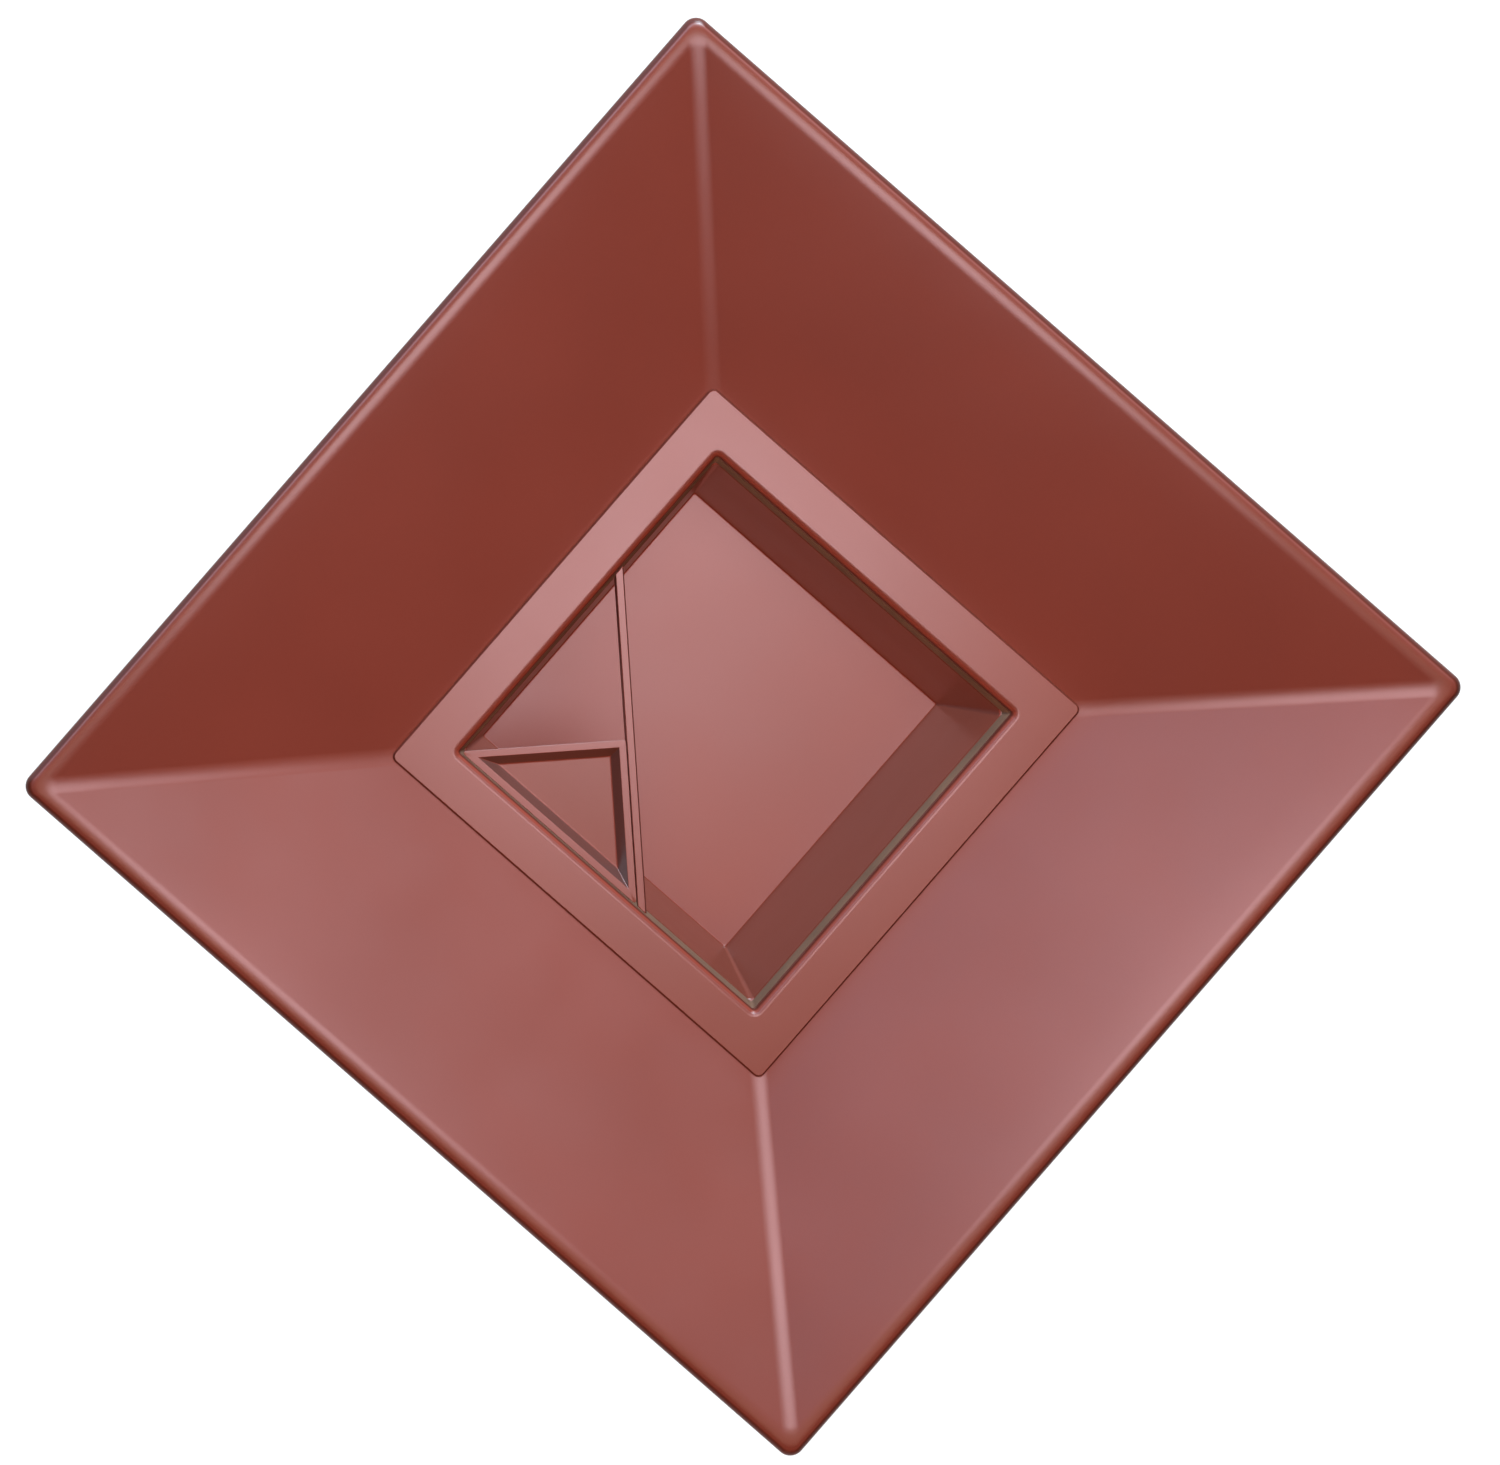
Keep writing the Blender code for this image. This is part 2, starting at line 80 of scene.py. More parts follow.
# The tray
TRAY_WALL = 3.0 * MM
LEDGE_HOLE_HALF = 36.3 * MM
LEDGE_TOP = LEDGE_BOTTOM + 3.0 * MM
POCKET_EDGE = 0.15 * MM
SLOPE_RINGS = 12
CREASE_RADIUS = 2.4 * MM
LIP_OUTER_RADIUS = 1.7 * MM
LIP_INNER_RADIUS = 5.6 * MM
LIP_DEPTH = 7.0 * MM
LIP_EDGE_RADIUS = 0.5 * MM
LIP_CORNER = 2.6 * MM
LIP_CORNER_FALL = 0.3                 # how much of the lip's rounding comes off its corner radius
LIP_WALL_DRAFT = 0.3 * MM
COLLAR_EDGE = 0.6 * MM
COLLAR_DROP = 0.9 * MM

# The frame
INNER_FACE_HALF = 34.35 * MM
FRAME_INNER_RADIUS = 1.45 * MM
FRAME_EDGE_RUN = 0.3 * MM
FRAME_EDGE_DROP = 0.6 * MM
FRAME_EDGE_ROUND = 0.05 * MM
FRAME_CORNER = 1.35 * MM
FRAME_LIP = 0.7 * MM

# The seal
GASKET_OUTER_HALF = gasket_high.x
GASKET_TOP_HALF = 34.3 * MM
GASKET_BOTTOM_HALF = 33.55 * MM
GASKET_BELLY = 0.12 * MM
GASKET_EDGE = 0.3 * MM

# The cup
CUP_MOUTH_HALF = 33.4 * MM
CUP_MOUTH_EDGE = 0.35 * MM
CUP_MOUTH_CORNER = 0.9 * MM
CUP_FLOOR_HALF = 28.3 * MM
CUP_FLOOR = 3.0 * MM
CUP_FLOOR_FILLET = 0.35 * MM
CUP_FLOOR_CORNER = 0.4 * MM
CUP_WALL = 2.6 * MM
CUP_FLANGE = 2.2 * MM
CUP_OUTER_CORNER = 3.0 * MM
CUP_FOOT_CHAMFER = 0.8 * MM

# The lift-out pieces
SIDE_CLEARANCE = 0.4 * MM             # beside the seal
MOUTH_CLEARANCE = 0.25 * MM           # beside the frame
STRIP_DISTANCE = 18.4 * MM            # from the middle of the well to the strip's centre line
STRIP_WIDTH = 1.45 * MM
STRIP_CORNER = 0.12 * MM
STRIP_FAR_EDGE = 0.08 * MM
STRIP_NEAR_RUN = 0.25 * MM
STRIP_NEAR_DROP = 0.55 * MM
STRIP_NEAR_ROUND = 0.1 * MM
STRIP_NEAR_STEP = 0.04 * MM           # what is left of the near chamfer where the far one starts
STRIP_SIDE_GAP = 0.2 * MM
INSERT_CORNER = 0.4 * MM
INSERT_LEAST_CORNER = 0.05 * MM
INSERT_EDGE = 0.08 * MM
INSERT_RIM = 1.25 * MM
INSERT_RIM_ROUND = 0.12 * MM
INSERT_RECESS_RUN = 1.5 * MM
INSERT_RECESS_DEPTH = 1.8 * MM
INSERT_RECESS_FILLET = 0.45 * MM
INSERT_FLOOR_STEP = 1.5 * MM          # from the foot of the recess wall to its last ring
INSERT_TILT = 0.04                    # fall of the recess floor towards one corner
INSERT_INRADIUS = 8.1 * MM
INSERT_DIAGONAL = 0.2 * MM            # how far past the well's diagonal it reaches, along X
INSERT_UNDERCUT = 0.28 * MM           # how far that side leans in at the bottom

# The backing frame and its screws
CLAMP_HOLE_HALF = clamp_high.x - 7.7 * MM
CLAMP_CORNER = 2.0 * MM
CLAMP_CHAMFER = 0.3 * MM
SCREW_COUNT = 8
SCREW_RADIUS = 1.25 * MM
SCREW_HEAD_RADIUS = 2.5 * MM
SCREW_HEAD_HEIGHT = 2.2 * MM
SCREW_EDGE = 0.3 * MM
SCREW_SOCKET_RADIUS = 1.2 * MM
SCREW_SOCKET_DEPTH = 1.2 * MM
SCREW_SOCKET_DROP = 0.1 * MM
SCREW_SOCKET_FLARE = 0.15 * MM
SCREW_SEAT = clamp_low.z - GAP
SCREW_TIP = FRAME_TOP - 1.7 * MM
SCREW_SIDES = 72
KNURL_DEPTH = 0.07 * MM
KNURL_START = 0.1 * MM                # from the rounded rim to the knurling
KNURL_END = 0.2 * MM                  # from the knurling to the seat

# The picture: the camera looks down almost square-on, without perspective
VIEW_WIDTH = 262.44 * MM
CAMERA_DISTANCE = 2.0
LEAN_X = -0.0845                      # how far the view leans off the vertical, along X and Y
LEAN_Y = -0.0215
SHIFT_RIGHT = 1.212 * MM              # from the middle of the lip to the middle of the picture
SHIFT_UP = 0.72 * MM
ACROSS = Vector((0.755, 0.656, 0.0))  # the direction across the ground that is the picture's right

# The studio
LIGHT_AIM = Vector((0.0, 0.0, 0.06))
WORLD_LIGHT = 0.03
WORLD_SEEN = 0.85
FLOOR_HALF = 8.0
FLOOR_DROP = 0.3 * MM                 # keeps the floor off the underside of the cup
FLOOR_GREY = 0.35
FLOOR_GLOW = 0.72

# Moulded faces lose gloss as they steepen, between these two upward shares of their normal
GLOSSY_UPRIGHT = 0.915
DULL_UPRIGHT = 0.84

# The moulded finish
TERRACOTTA = (0.220, 0.039, 0.024)
MOULDED_INDEX = 1.615
CLOUD = 0.035                         # the share by which the pigment varies from place to place
SATIN_ROUGHNESS = 0.315
SATIN = 0.012                         # how far the roughness varies
SILICONE_GRAIN = 1900.0
PLASTIC_GRAIN = 2600.0


# ---------------------------------------------------------------- shapes

def arc(center_a, center_z, radius, start_deg, end_deg, steps):
    """Points (half width, height) on an arc of a section."""
    points = []
    for i in range(steps + 1):
        angle = math.radians(start_deg + (end_deg - start_deg) * i / steps)
        points.append((center_a + radius * math.cos(angle), center_z + radius * math.sin(angle)))
    return points


def bend(before, corner, after, radius, steps=6):
    """Points (half width, height) that round one corner of a section."""
    corner = Vector(corner)
    to_before = (Vector(before) - corner).normalized()
    to_after = (Vector(after) - corner).normalized()
    half_angle = to_before.angle(to_after) / 2.0
    setback = radius / math.tan(half_angle)
    center = corner + (to_before + to_after).normalized() * radius / math.sin(half_angle)
    start = corner + to_before * setback - center
    end = corner + to_after * setback - center
    sweep = math.pi - 2.0 * half_angle
    points = []
    for i in range(steps + 1):
        turn = sweep * i / steps
        arm = (start * math.sin(sweep - turn) + end * math.sin(turn)) / math.sin(sweep)
        points.append(tuple(center + arm))
    return points


def rounded_loop(corners, radius, steps):
    """A convex outline, counter-clockwise, with its corners rounded."""
    points = []
    count = len(corners)
    for i in range(count):
        x, y = corners[i]
        before_x, before_y = corners[i - 1]
        after_x, after_y = corners[(i + 1) % count]
        heading_in = math.atan2(y - before_y, x - before_x)
        heading_out = math.atan2(after_y - y, after_x - x)
        turn = (heading_out - heading_in) % math.tau
        setback = radius * math.tan(turn / 2.0)
        center_x = x - setback * math.cos(heading_in) - radius * math.sin(heading_in)
        center_y = y - setback * math.sin(heading_in) + radius * math.cos(heading_in)
        for k in range(steps + 1):
            angle = heading_in - math.pi / 2.0 + turn * k / steps
            points.append((center_x + radius * math.cos(angle), center_y + radius * math.sin(angle)))
    return points


def square_loop(half, height, corner, steps=14):
    corners = [(half, -half), (half, half), (-half, half), (-half, -half)]
    return [(x, y, height) for x, y in rounded_loop(corners, corner, steps)]


def loft(loops, closed):
    """A mesh through the loops, joined end to end (closed) or capped at both ends."""
    bm = bmesh.new()
    rings = [[bm.verts.new(point) for point in loop] for loop in loops]
    pairs = list(zip(rings, rings[1:]))
    if closed:
        pairs.append((rings[-1], rings[0]))
    for lower, upper in pairs:
        count = len(lower)
        for i in range(count):
            j = (i + 1) % count
            bm.faces.new((lower[i], lower[j], upper[j], upper[i]))
    if not closed:
        bm.faces.new(rings[0])
        bm.faces.new(rings[-1])
    bmesh.ops.recalc_face_normals(bm, faces=bm.faces)
    return bm


def piece(name, bm, finish, body, nodes):
    mesh = bpy.data.meshes.new(name)
    bm.to_mesh(mesh)
    bm.free()
    mesh.shade_smooth()
    mesh.set_sharp_from_angle(angle=math.radians(SHARP_DEG))
    mesh.materials.append(finish)
    made = bpy.data.objects.new(name, mesh)
    bpy.context.scene.collection.objects.link(made)
    weighted = made.modifiers.new("Weighted normals", "WEIGHTED_NORMAL")
    weighted.keep_sharp = True
    weighted.weight = 90
    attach(made, body)
    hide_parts(*nodes)
    return made


def slope_height(half, below=0.0):
    return LAND_TOP + (half - LAND_HALF) * math.tan(SLOPE) - below / math.cos(SLOPE)


def make_tray(finish):
    top_half = LIP_HALF - LIP_OUTER_RADIUS
    tangent_half = top_half - LIP_INNER_RADIUS * math.sin(SLOPE)
    lip_bottom = LIP_TOP - LIP_DEPTH
    inner_face = LIP_HALF - TRAY_WALL - LIP_EDGE_RADIUS
    collar_half = POCKET_HALF + TRAY_WALL
    section = [
        (LEDGE_HOLE_HALF, LEDGE_BOTTOM, POCKET_CORNER),
        (LEDGE_HOLE_HALF, LEDGE_TOP, POCKET_CORNER),
        (POCKET_HALF, LEDGE_TOP, POCKET_CORNER),
    ]
    for half, height in arc(POCKET_HALF + POCKET_EDGE, LAND_TOP - POCKET_EDGE, POCKET_EDGE, 180.0, 90.0, 3):
        section.append((half, height, POCKET_CORNER))
    section.append((LAND_HALF, LAND_TOP, CREASE_RADIUS))
    for i in range(1, SLOPE_RINGS):
        half = LAND_HALF + (tangent_half - LAND_HALF) * i / SLOPE_RINGS
        section.append((half, slope_height(half), CREASE_RADIUS))
    slope_deg = math.degrees(SLOPE)
    inner = arc(top_half, LIP_TOP - LIP_INNER_RADIUS, LIP_INNER_RADIUS, 90.0 + slope_deg, 90.0, 10)
    for half, height in inner[:-1]:
        section.append((half, height, CREASE_RADIUS))
    for half, height in arc(top_half, LIP_TOP - LIP_OUTER_RADIUS, LIP_OUTER_RADIUS, 90.0, 0.0, 12):
        section.append((half, height, LIP_CORNER - (LIP_HALF - half) * LIP_CORNER_FALL))
    edge_center = LIP_HALF - 2.0 * LIP_EDGE_RADIUS
    for half, height in arc(edge_center, lip_bottom + LIP_EDGE_RADIUS, LIP_EDGE_RADIUS, 0.0, -90.0, 6):
        section.append((half, height, LIP_CORNER))
    under_lip = inner_face - LIP_WALL_DRAFT
    under_collar = collar_half + COLLAR_EDGE
    section += [
        (inner_face, lip_bottom, CREASE_RADIUS),
        (under_lip, slope_height(under_lip, TRAY_WALL), CREASE_RADIUS),
        (under_collar, slope_height(under_collar, TRAY_WALL), CREASE_RADIUS),
        (collar_half, slope_height(collar_half, TRAY_WALL) - COLLAR_DROP, CREASE_RADIUS),
        (collar_half, LEDGE_BOTTOM + COLLAR_EDGE, CREASE_RADIUS),
        (collar_half - COLLAR_EDGE, LEDGE_BOTTOM, CREASE_RADIUS),
    ]
    loops = [square_loop(*point) for point in section]
    return piece("tray_shell", loft(loops, closed=True), finish, "mould", ["pour_tray"])


def make_frame(finish):
    section = [(INNER_FACE_HALF, PLATE_BOTTOM, OPENING_CORNER)]
    radius = FRAME_INNER_RADIUS
    for half, height in arc(OPENING_HALF + radius, FRAME_TOP - radius, radius, 180.0, 90.0, 10):
        section.append((half, height, OPENING_CORNER + half - OPENING_HALF))
    edge_half = FRAME_HALF - FRAME_EDGE_RUN
    edge_foot = (FRAME_HALF, FRAME_TOP - FRAME_EDGE_DROP)
    for half, height in bend((0.0, FRAME_TOP), (edge_half, FRAME_TOP), edge_foot, FRAME_EDGE_ROUND, 3):
        section.append((half, height, FRAME_CORNER + half - FRAME_HALF))
    section.append((FRAME_HALF, FRAME_TOP - FRAME_EDGE_DROP, FRAME_CORNER))
    skirt_inner = GASKET_OUTER_HALF + GAP
    section += [
        (FRAME_HALF, FRAME_TOP - FRAME_LIP, FRAME_CORNER),
        (STACK_HALF, FRAME_TOP - FRAME_LIP, POCKET_CORNER),
        (STACK_HALF, SKIRT_BOTTOM, POCKET_CORNER),
        (skirt_inner, SKIRT_BOTTOM, OPENING_CORNER + GAP),
        (skirt_inner, PLATE_BOTTOM, OPENING_CORNER + GAP),
    ]
    loops = [square_loop(*point) for point in section]
    return piece("frame_plate", loft(loops, closed=True), finish, "mould", ["well_frame"])


def make_gasket(finish):
    low, high = gasket_low.z, gasket_high.z
    middle_half = (GASKET_TOP_HALF + GASKET_BOTTOM_HALF) / 2.0 - GASKET_BELLY
    section = [
        (GASKET_BOTTOM_HALF + GASKET_EDGE, low),
        (GASKET_BOTTOM_HALF, low + GASKET_EDGE),
        (middle_half, (low + high) / 2.0),
        (GASKET_TOP_HALF, high - GASKET_EDGE),
        (GASKET_TOP_HALF + GASKET_EDGE, high),
        (GASKET_OUTER_HALF, high),
        (GASKET_OUTER_HALF, low),
    ]
    loops = [square_loop(half, height, OPENING_CORNER) for half, height in section]
    return piece("seal_band", loft(loops, closed=True), finish, "mould", ["well_gasket"])


def make_cup(finish):
    draft = (CUP_MOUTH_HALF - CUP_FLOOR_HALF) / (FLANGE_TOP - CUP_FLOOR)
    flange_bottom = FLANGE_TOP - CUP_FLANGE
    outer_foot = CUP_FLOOR_HALF + CUP_WALL - draft * CUP_FLOOR
    outer_neck = CUP_MOUTH_HALF + CUP_WALL - draft * CUP_FLANGE
    fillet = CUP_FLOOR_FILLET
    section = [
        (outer_foot - CUP_FOOT_CHAMFER, 0.0, CUP_OUTER_CORNER),
        (outer_foot, CUP_FOOT_CHAMFER, CUP_OUTER_CORNER),
        (outer_neck, flange_bottom, CUP_OUTER_CORNER),
        (STACK_HALF, flange_bottom, POCKET_CORNER),
        (STACK_HALF, FLANGE_TOP, POCKET_CORNER),
        (CUP_MOUTH_HALF + CUP_MOUTH_EDGE, FLANGE_TOP, CUP_MOUTH_CORNER),
        (CUP_MOUTH_HALF, FLANGE_TOP - CUP_MOUTH_EDGE, CUP_MOUTH_CORNER),
    ]
    for half, height in arc(CUP_FLOOR_HALF - fillet, CUP_FLOOR + fillet, fillet, 0.0, -90.0, 6):
        section.append((half, height, CUP_FLOOR_CORNER))
    loops = [square_loop(*point) for point in section]
    return piece("cup_shell", loft(loops, closed=False), finish, "mould", ["well_cup"])


def mouth_half(height):
    """Half width that a lift-out piece may have at a height in the well's mouth."""
    if height >= PLATE_BOTTOM - 1e-6:
        return OPENING_HALF - MOUTH_CLEARANCE
    top = gasket_high.z
    share = (top - min(height, top)) / (top - gasket_low.z)
    return GASKET_TOP_HALF + (GASKET_BOTTOM_HALF - GASKET_TOP_HALF) * share - SIDE_CLEARANCE


def strip_loop(height, far_inset=0.0, near_inset=0.0):
    half = mouth_half(height) - far_inset
    near = -ROOT_TWO * (STRIP_DISTANCE - STRIP_WIDTH / 2.0 + near_inset)
    far = -ROOT_TWO * (STRIP_DISTANCE + STRIP_WIDTH / 2.0 - far_inset)
    corners = [(far + half, -half), (near + half, -half), (-half, near + half), (-half, far + half)]
    return [(x, y, height) for x, y in rounded_loop(corners, STRIP_CORNER, 4)]


def make_strip(finish):
    loops = [strip_loop(strip_low.z), strip_loop(gasket_high.z), strip_loop(PLATE_BOTTOM)]
    edge_start = MOUTH_TOP - STRIP_NEAR_DROP
    side = [(0.0, PLATE_BOTTOM), (0.0, edge_start), (STRIP_NEAR_RUN, MOUTH_TOP)]
    for inset, height in bend(*side, STRIP_NEAR_ROUND, 3):
        loops.append(strip_loop(height, 0.0, inset))
    loops.append(strip_loop(MOUTH_TOP - STRIP_FAR_EDGE, 0.0, STRIP_NEAR_RUN - STRIP_NEAR_STEP))
    loops.append(strip_loop(MOUTH_TOP, STRIP_FAR_EDGE, STRIP_NEAR_RUN))
    return piece("strip_bar", loft(loops, closed=False), finish, "strip", ["divider_strip"])


def insert_loop(height, inset, corner, half=None):
    half = (mouth_half(height) if half is None else half) - inset
    lean = INSERT_UNDERCUT * max(0.0, MOUTH_TOP - height) / (MOUTH_TOP - insert_low.z)
    diagonal = INSERT_DIAGONAL - ROOT_TWO * (inset + (lean if inset == 0.0 else 0.0))
    beside_strip = -ROOT_TWO * (STRIP_DISTANCE + STRIP_WIDTH / 2.0 + STRIP_SIDE_GAP + inset)
    corners = [
        (-half - diagonal, -half),
        (beside_strip + half, -half),
        ((beside_strip - diagonal) / 2.0, (beside_strip + diagonal) / 2.0),
    ]
    return [(x, y, height) for x, y in rounded_loop(corners, corner, 8)]


def tilted(loop):
    """A ring of the insert's recess, lower towards the corner that points down in the picture."""
    points = []
    for x, y, height in loop:
        share = max(0.0, MOUTH_TOP - height) / INSERT_RECESS_DEPTH
        points.append((x, y, height - share * INSERT_TILT * (x - y) / ROOT_TWO))
    return points


def make_insert(finish):
    half = mouth_half(MOUTH_TOP)
    top = MOUTH_TOP
    floor = top - INSERT_RECESS_DEPTH
    foot = INSERT_RIM + INSERT_RECESS_RUN
    section = bend((0.0, floor), (0.0, top), (INSERT_RIM, top), INSERT_EDGE, 4)
    section += bend((0.0, top), (INSERT_RIM, top), (foot, floor), INSERT_RIM_ROUND, 4)
    section += bend((INSERT_RIM, top), (foot, floor), (INSERT_INRADIUS, floor), INSERT_RECESS_FILLET, 8)
    section.append((foot + INSERT_FLOOR_STEP, floor))
    heights = (insert_low.z, gasket_high.z, PLATE_BOTTOM)
    loops = [insert_loop(height, 0.0, INSERT_CORNER) for height in heights]
    for inset, height in section:
        corner = max(INSERT_LEAST_CORNER, INSERT_CORNER - inset)
        loops.append(tilted(insert_loop(height, inset, corner, half)))
    solid = loft(loops, closed=False)
    return piece("insert_plate", solid, finish, "insert", ["corner_insert"])


def make_clamp(finish):
    low, high = clamp_low.z, clamp_high.z
    inner, outer = CLAMP_HOLE_HALF, clamp_high.x
    corners = [(inner, high), (inner, low), (outer, low), (outer, high)]
    section = []
    for i in range(4):
        section += bend(corners[i - 1], corners[i], corners[(i + 1) % 4], CLAMP_CHAMFER, 4)
    loops = [square_loop(half, height, CLAMP_CORNER) for half, height in section]
    return piece("clamp_plate", loft(loops, closed=True), finish, "mould", ["clamp_frame"])


def circle_loop(radius, height, knurl=0.0):
    points = []
    for i in range(SCREW_SIDES):
        turn = math.tau * i / SCREW_SIDES
        reach = radius - knurl * (i % 2)
        points.append((reach * math.cos(turn), reach * math.sin(turn), height))
    return points


def hexagon_loop(radius, height):
    """A hexagon drawn with as many points as the screw has sides, so that it lofts to its circles."""
    points = []
    for i in range(SCREW_SIDES):
        turn = math.tau * i / SCREW_SIDES
        within = (turn % (math.pi / 3.0)) - math.pi / 6.0
        reach = radius * math.cos(math.pi / 6.0) / math.cos(within)
        points.append((reach * math.cos(turn), reach * math.sin(turn), height))
    return points


def make_screws(finish):
    """Cap screws, heads down, with a hexagonal socket and a knurled head."""
    head_bottom = SCREW_SEAT - SCREW_HEAD_HEIGHT
    edge = SCREW_EDGE
    loops = [
        hexagon_loop(SCREW_SOCKET_RADIUS, head_bottom + SCREW_SOCKET_DEPTH),
        hexagon_loop(SCREW_SOCKET_RADIUS, head_bottom + SCREW_SOCKET_DROP),
        circle_loop(SCREW_SOCKET_RADIUS + SCREW_SOCKET_FLARE, head_bottom),
    ]
    for reach, height in arc(SCREW_HEAD_RADIUS - edge, head_bottom + edge, edge, -90.0, 0.0, 4):
        loops.append(circle_loop(reach, height))
    loops += [
        circle_loop(SCREW_HEAD_RADIUS, head_bottom + edge + KNURL_START, KNURL_DEPTH),
        circle_loop(SCREW_HEAD_RADIUS, SCREW_SEAT - KNURL_END, KNURL_DEPTH),
        circle_loop(SCREW_HEAD_RADIUS - KNURL_DEPTH, SCREW_SEAT),
        circle_loop(SCREW_RADIUS, SCREW_SEAT),
        circle_loop(SCREW_RADIUS, SCREW_TIP - edge),
        circle_loop(SCREW_RADIUS - edge, SCREW_TIP),
    ]
    for number in range(1, SCREW_COUNT + 1):
        low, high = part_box(f"clamp_screw_{number}")
        middle = (low + high) / 2.0
        placed = [[(x + middle.x, y + middle.y, z) for x, y, z in loop] for loop in loops]
        name = f"screw_{number}"
        piece(name, loft(placed, closed=False), finish, "mould", [f"clamp_screw_{number}"])


# ---------------------------------------------------------------- finishes

def new_finish(name, color, roughness, metallic=0.0):
    made = bpy.data.materials.new(name)
    made.use_nodes = True
    shader = made.node_tree.nodes["Principled BSDF"]
    shader.inputs["Base Color"].default_value = (*color, 1.0)
    shader.inputs["Roughness"].default_value = roughness
    shader.inputs["Metallic"].default_value = metallic
    return made, made.node_tree, shader


def add_node(tree, kind, links=(), **values):
    """A node with some inputs set by value and some linked; underscores stand for spaces in their names."""
    node = tree.nodes.new(kind)
    for name, value in values.items():
        node.inputs[name.replace("_", " ")].default_value = value
    for name, source in dict(links).items():
        tree.links.new(source, node.inputs[name])
    return node


def noise(tree, scale, detail, stretch=(1.0, 1.0, 1.0)):
    """Noise fixed to the piece. stretch squeezes it along the piece's axes."""
    place = tree.nodes.new("ShaderNodeTexCoord").outputs["Object"]
    squeezed = add_node(tree, "ShaderNodeMapping", {"Vector": place}, Scale=stretch).outputs["Vector"]
    made = add_node(tree, "ShaderNodeTexNoise", {"Vector": squeezed}, Scale=scale, Detail=detail)
    return made.outputs["Fac"]


def spread(tree, source, from_min, from_max, to_min, to_max):
    made = add_node(
        tree, "ShaderNodeMapRange", {"Value": source},
        From_Min=from_min, From_Max=from_max, To_Min=to_min, To_Max=to_max,
    )
    return made.outputs["Result"]


def blend(tree, factor, first, second):
    """A colour between two others. Each is a plain colour or the output of a node."""
    mix = tree.nodes.new("ShaderNodeMix")
    mix.data_type = "RGBA"
    tree.links.new(factor, mix.inputs["Factor"])
    for socket, color in ((mix.inputs[6], first), (mix.inputs[7], second)):
        if isinstance(color, tuple):
            socket.default_value = (*color, 1.0)
        else:
            tree.links.new(color, socket)
    return mix.outputs[2]


def tint(color, factor):
    return tuple(channel * factor for channel in color)


def add_bump(tree, shader, height, strength, distance):
    bump = add_node(tree, "ShaderNodeBump", {"Height": height}, Strength=strength, Distance=distance)
    tree.links.new(bump.outputs["Normal"], shader.inputs["Normal"])


def add_values(tree, first, second):
    made = tree.nodes.new("ShaderNodeMath")
    made.operation = "ADD"
    tree.links.new(first, made.inputs[0])
    tree.links.new(second, made.inputs[1])
    return made.outputs["Value"]


def moulded_finish(name, painted_shade_color, upright, grain, wall_gloss=0.12):
    """A satin moulded surface: cloudy pigment, fine grain, painted shade that darkens steep faces, and
    edges lightened as rubbed wear and painted highlight.

    upright gives the upward share of a face's normal where the painted shade on steep faces starts and
    where it is full, and wall_gloss the gloss that steep faces keep.
    """
    color = TERRACOTTA
    made, tree, shader = new_finish(name, color, SATIN_ROUGHNESS)
    shader.inputs["IOR"].default_value = MOULDED_INDEX
    geometry = tree.nodes.new("ShaderNodeNewGeometry")
    normal = add_node(tree, "ShaderNodeSeparateXYZ", {"Vector": geometry.outputs["Normal"]})
    # Painted shade: faces darken towards a darker colour as they steepen. The shade is painted into the
    # colour, not cast by the lamps.
    steep_shade = spread(tree, normal.outputs["Z"], *upright, 0.0, 1.0)
    # Painted highlight and wear: convex edges are lightened, partly as rubbed wear and partly as painted
    # highlight lines.
    edge = spread(tree, geometry.outputs["Pointiness"], 0.52, 0.62, 0.0, 0.35)
    clouds = spread(tree, noise(tree, 28.0, 3.0), 0.35, 0.65, 0.0, 1.0)
    grains = noise(tree, grain, 2.0)
    face_tone = blend(tree, clouds, tint(color, 1.0 - CLOUD), tint(color, 1.0 + CLOUD))
    # The darker colour for steep faces is painted shade.
    painted_wall_shade = blend(tree, clouds, tint(painted_shade_color, 1.0 - CLOUD), tint(painted_shade_color, 1.0 + CLOUD))
    shaded_tone = blend(tree, steep_shade, face_tone, painted_wall_shade)
    rubbed_and_highlit = blend(tree, edge, shaded_tone, tint(color, 1.12))
    speckled = blend(tree, spread(tree, grains, 0.62, 0.78, 0.0, 0.25), rubbed_and_highlit, tint(color, 0.75))
    tree.links.new(speckled, shader.inputs["Base Color"])
    satin = spread(tree, noise(tree, 60.0, 4.0), 0.3, 0.7, SATIN_ROUGHNESS - SATIN, SATIN_ROUGHNESS + SATIN)
    tree.links.new(satin, shader.inputs["Roughness"])
    gloss = spread(tree, normal.outputs["Z"], GLOSSY_UPRIGHT, DULL_UPRIGHT, 1.0, wall_gloss)
    tree.links.new(gloss, shader.inputs["Specular IOR Level"])
    add_bump(tree, shader, grains, 0.05, 0.00006)
    return made


def rubber_finish(name, color, roughness):
    """Matt rubber with a dusty bloom and a fine grain."""
    made, tree, shader = new_finish(name, color, roughness)
    shader.inputs["Specular IOR Level"].default_value = 0.2
    bloom = spread(tree, noise(tree, 90.0, 4.0), 0.4, 0.65, 0.0, 1.0)
    tree.links.new(blend(tree, bloom, tint(color, 0.88), tint(color, 1.12)), shader.inputs["Base Color"])
    uneven = spread(tree, bloom, 0.0, 1.0, roughness - 0.06, roughness + 0.06)
    tree.links.new(uneven, shader.inputs["Roughness"])
    add_bump(tree, shader, noise(tree, 2600.0, 2.0), 0.15, 0.00006)
    return made


